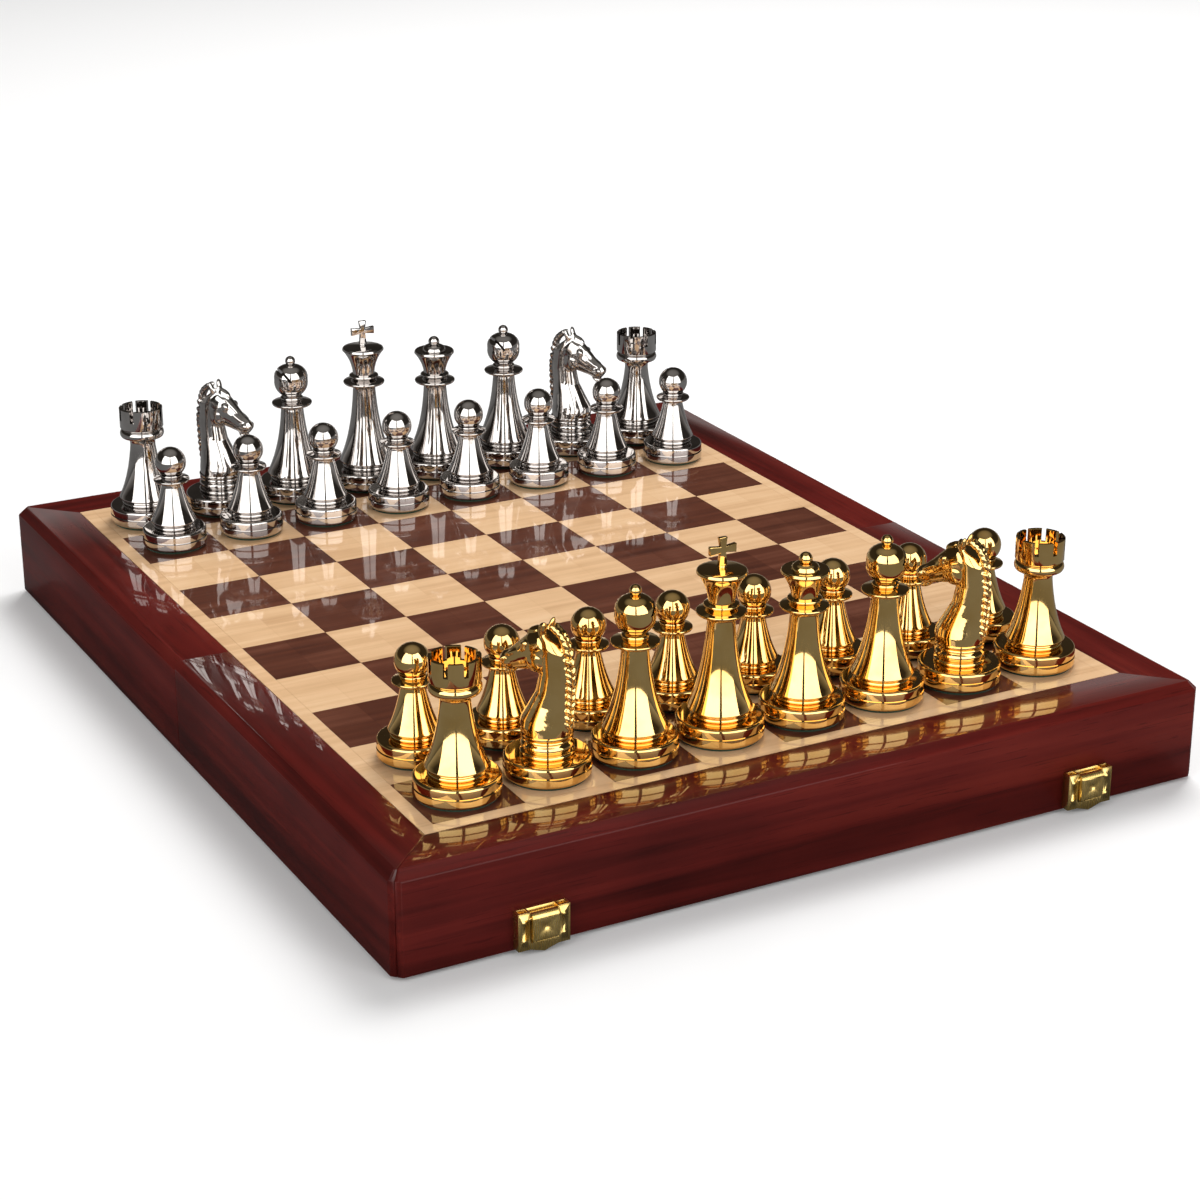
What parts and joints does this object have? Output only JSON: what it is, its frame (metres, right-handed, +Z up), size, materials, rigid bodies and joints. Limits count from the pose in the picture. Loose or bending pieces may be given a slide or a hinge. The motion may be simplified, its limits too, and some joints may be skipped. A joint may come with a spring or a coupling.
{
  "type": "folding chess set",
  "caption": "Hinged wooden chess case with inlaid playing surface, front latches, storage inside and metal pieces.",
  "frame": {"origin": "middle of the open case on the table, under the fold line", "axes": "+Z up; +X along the fold, to the right as the gold side sits; +Y from the gold side to the silver side"},
  "size_m": [0.3, 0.3696, 0.104],
  "materials": {
    "mahogany": "gloss lacquered red mahogany",
    "plywood": "plain sanded plywood",
    "dark_veneer": "gloss lacquered dark walnut veneer",
    "light_veneer": "gloss lacquered pale maple veneer",
    "lining": "flocked velvet lining",
    "rubber": "matt rubber",
    "brass_fittings": "satin brass plate",
    "gold_metal": "polished gold plate, felt under the base",
    "silver_metal": "polished dark nickel plate, felt under the base"
  },
  "bodies": {
    "near_half": {"near_front_rail": "mahogany", "near_side_rails": "mahogany", "near_hinge_rail": "mahogany", "near_deck": "plywood", "near_dark_squares": "dark_veneer", "near_light_squares": "light_veneer", "near_stringing": "light_veneer", "near_storage_insert": "lining", "near_feet": "rubber", "near_hinge_leaves": "brass_fittings", "near_hinge_screws": "brass_fittings", "near_latch_plates": "brass_fittings"},
    "far_half": {"far_back_rail": "mahogany", "far_side_rails": "mahogany", "far_hinge_rail": "mahogany", "far_deck": "plywood", "far_dark_squares": "dark_veneer", "far_light_squares": "light_veneer", "far_stringing": "light_veneer", "far_storage_insert": "lining", "far_feet": "rubber", "far_hinge_leaves": "brass_fittings", "far_hinge_screws": "brass_fittings", "far_strap_plates": "brass_fittings"},
    "left_latch_lever": {"left_latch_lever": "brass_fittings"},
    "left_latch_tongue": {"left_latch_tongue": "brass_fittings"},
    "right_latch_lever": {"right_latch_lever": "brass_fittings"},
    "right_latch_tongue": {"right_latch_tongue": "brass_fittings"},
    "gold_rook_a": {"gold_rook_a": "gold_metal"},
    "gold_pawn_a": {"gold_pawn_a": "gold_metal"},
    "gold_knight_b": {"gold_knight_b": "gold_metal"},
    "gold_pawn_b": {"gold_pawn_b": "gold_metal"},
    "gold_bishop_c": {"gold_bishop_c": "gold_metal"},
    "gold_pawn_c": {"gold_pawn_c": "gold_metal"},
    "gold_king_d": {"gold_king_d": "gold_metal"},
    "gold_pawn_d": {"gold_pawn_d": "gold_metal"},
    "gold_queen_e": {"gold_queen_e": "gold_metal"},
    "gold_pawn_e": {"gold_pawn_e": "gold_metal"},
    "gold_bishop_f": {"gold_bishop_f": "gold_metal"},
    "gold_pawn_f": {"gold_pawn_f": "gold_metal"},
    "gold_knight_g": {"gold_knight_g": "gold_metal"},
    "gold_pawn_g": {"gold_pawn_g": "gold_metal"},
    "gold_rook_h": {"gold_rook_h": "gold_metal"},
    "gold_pawn_h": {"gold_pawn_h": "gold_metal"},
    "silver_rook_a": {"silver_rook_a": "silver_metal"},
    "silver_pawn_a": {"silver_pawn_a": "silver_metal"},
    "silver_knight_b": {"silver_knight_b": "silver_metal"},
    "silver_pawn_b": {"silver_pawn_b": "silver_metal"},
    "silver_bishop_c": {"silver_bishop_c": "silver_metal"},
    "silver_pawn_c": {"silver_pawn_c": "silver_metal"},
    "silver_king_d": {"silver_king_d": "silver_metal"},
    "silver_pawn_d": {"silver_pawn_d": "silver_metal"},
    "silver_queen_e": {"silver_queen_e": "silver_metal"},
    "silver_pawn_e": {"silver_pawn_e": "silver_metal"},
    "silver_bishop_f": {"silver_bishop_f": "silver_metal"},
    "silver_pawn_f": {"silver_pawn_f": "silver_metal"},
    "silver_knight_g": {"silver_knight_g": "silver_metal"},
    "silver_pawn_g": {"silver_pawn_g": "silver_metal"},
    "silver_rook_h": {"silver_rook_h": "silver_metal"},
    "silver_pawn_h": {"silver_pawn_h": "silver_metal"}
  },
  "joints": [
    {"name": "fold", "type": "hinge", "parent": "near_half", "child": "far_half", "pos_m": [0, 0, 0.0015], "axis": [-1, 0, 0], "range_deg": [0, 179.5]},
    {"name": "left_latch_lever_pivot", "type": "hinge", "parent": "near_half", "child": "left_latch_lever", "pos_m": [-0.102, -0.18415, 0.0124], "axis": [-1, 0, 0], "range_deg": [0, 100]},
    {"name": "left_latch_tongue_hinge", "type": "hinge", "parent": "far_half", "child": "left_latch_tongue", "pos_m": [-0.102, 0.18255, 0.0042], "axis": [-1, 0, 0], "range_deg": [0, 180]},
    {"name": "right_latch_lever_pivot", "type": "hinge", "parent": "near_half", "child": "right_latch_lever", "pos_m": [0.102, -0.18415, 0.0124], "axis": [-1, 0, 0], "range_deg": [0, 100]},
    {"name": "right_latch_tongue_hinge", "type": "hinge", "parent": "far_half", "child": "right_latch_tongue", "pos_m": [0.102, 0.18255, 0.0042], "axis": [-1, 0, 0], "range_deg": [0, 180]},
    {"name": "gold_rook_a_lift", "type": "slide", "parent": "near_half", "child": "gold_rook_a", "axis": [0, 0, 1], "range_m": [0, 0.09]},
    {"name": "gold_pawn_a_lift", "type": "slide", "parent": "near_half", "child": "gold_pawn_a", "axis": [0, 0, 1], "range_m": [0, 0.09]},
    {"name": "gold_knight_b_lift", "type": "slide", "parent": "near_half", "child": "gold_knight_b", "axis": [0, 0, 1], "range_m": [0, 0.09]},
    {"name": "gold_pawn_b_lift", "type": "slide", "parent": "near_half", "child": "gold_pawn_b", "axis": [0, 0, 1], "range_m": [0, 0.09]},
    {"name": "gold_bishop_c_lift", "type": "slide", "parent": "near_half", "child": "gold_bishop_c", "axis": [0, 0, 1], "range_m": [0, 0.09]},
    {"name": "gold_pawn_c_lift", "type": "slide", "parent": "near_half", "child": "gold_pawn_c", "axis": [0, 0, 1], "range_m": [0, 0.09]},
    {"name": "gold_king_d_lift", "type": "slide", "parent": "near_half", "child": "gold_king_d", "axis": [0, 0, 1], "range_m": [0, 0.09]},
    {"name": "gold_pawn_d_lift", "type": "slide", "parent": "near_half", "child": "gold_pawn_d", "axis": [0, 0, 1], "range_m": [0, 0.09]},
    {"name": "gold_queen_e_lift", "type": "slide", "parent": "near_half", "child": "gold_queen_e", "axis": [0, 0, 1], "range_m": [0, 0.09]},
    {"name": "gold_pawn_e_lift", "type": "slide", "parent": "near_half", "child": "gold_pawn_e", "axis": [0, 0, 1], "range_m": [0, 0.09]},
    {"name": "gold_bishop_f_lift", "type": "slide", "parent": "near_half", "child": "gold_bishop_f", "axis": [0, 0, 1], "range_m": [0, 0.09]},
    {"name": "gold_pawn_f_lift", "type": "slide", "parent": "near_half", "child": "gold_pawn_f", "axis": [0, 0, 1], "range_m": [0, 0.09]},
    {"name": "gold_knight_g_lift", "type": "slide", "parent": "near_half", "child": "gold_knight_g", "axis": [0, 0, 1], "range_m": [0, 0.09]},
    {"name": "gold_pawn_g_lift", "type": "slide", "parent": "near_half", "child": "gold_pawn_g", "axis": [0, 0, 1], "range_m": [0, 0.09]},
    {"name": "gold_rook_h_lift", "type": "slide", "parent": "near_half", "child": "gold_rook_h", "axis": [0, 0, 1], "range_m": [0, 0.09]},
    {"name": "gold_pawn_h_lift", "type": "slide", "parent": "near_half", "child": "gold_pawn_h", "axis": [0, 0, 1], "range_m": [0, 0.09]},
    {"name": "silver_rook_a_lift", "type": "slide", "parent": "far_half", "child": "silver_rook_a", "axis": [0, 0, 1], "range_m": [0, 0.09]},
    {"name": "silver_pawn_a_lift", "type": "slide", "parent": "far_half", "child": "silver_pawn_a", "axis": [0, 0, 1], "range_m": [0, 0.09]},
    {"name": "silver_knight_b_lift", "type": "slide", "parent": "far_half", "child": "silver_knight_b", "axis": [0, 0, 1], "range_m": [0, 0.09]},
    {"name": "silver_pawn_b_lift", "type": "slide", "parent": "far_half", "child": "silver_pawn_b", "axis": [0, 0, 1], "range_m": [0, 0.09]},
    {"name": "silver_bishop_c_lift", "type": "slide", "parent": "far_half", "child": "silver_bishop_c", "axis": [0, 0, 1], "range_m": [0, 0.09]},
    {"name": "silver_pawn_c_lift", "type": "slide", "parent": "far_half", "child": "silver_pawn_c", "axis": [0, 0, 1], "range_m": [0, 0.09]},
    {"name": "silver_king_d_lift", "type": "slide", "parent": "far_half", "child": "silver_king_d", "axis": [0, 0, 1], "range_m": [0, 0.09]},
    {"name": "silver_pawn_d_lift", "type": "slide", "parent": "far_half", "child": "silver_pawn_d", "axis": [0, 0, 1], "range_m": [0, 0.09]},
    {"name": "silver_queen_e_lift", "type": "slide", "parent": "far_half", "child": "silver_queen_e", "axis": [0, 0, 1], "range_m": [0, 0.09]},
    {"name": "silver_pawn_e_lift", "type": "slide", "parent": "far_half", "child": "silver_pawn_e", "axis": [0, 0, 1], "range_m": [0, 0.09]},
    {"name": "silver_bishop_f_lift", "type": "slide", "parent": "far_half", "child": "silver_bishop_f", "axis": [0, 0, 1], "range_m": [0, 0.09]},
    {"name": "silver_pawn_f_lift", "type": "slide", "parent": "far_half", "child": "silver_pawn_f", "axis": [0, 0, 1], "range_m": [0, 0.09]},
    {"name": "silver_knight_g_lift", "type": "slide", "parent": "far_half", "child": "silver_knight_g", "axis": [0, 0, 1], "range_m": [0, 0.09]},
    {"name": "silver_pawn_g_lift", "type": "slide", "parent": "far_half", "child": "silver_pawn_g", "axis": [0, 0, 1], "range_m": [0, 0.09]},
    {"name": "silver_rook_h_lift", "type": "slide", "parent": "far_half", "child": "silver_rook_h", "axis": [0, 0, 1], "range_m": [0, 0.09]},
    {"name": "silver_pawn_h_lift", "type": "slide", "parent": "far_half", "child": "silver_pawn_h", "axis": [0, 0, 1], "range_m": [0, 0.09]}
  ]
}
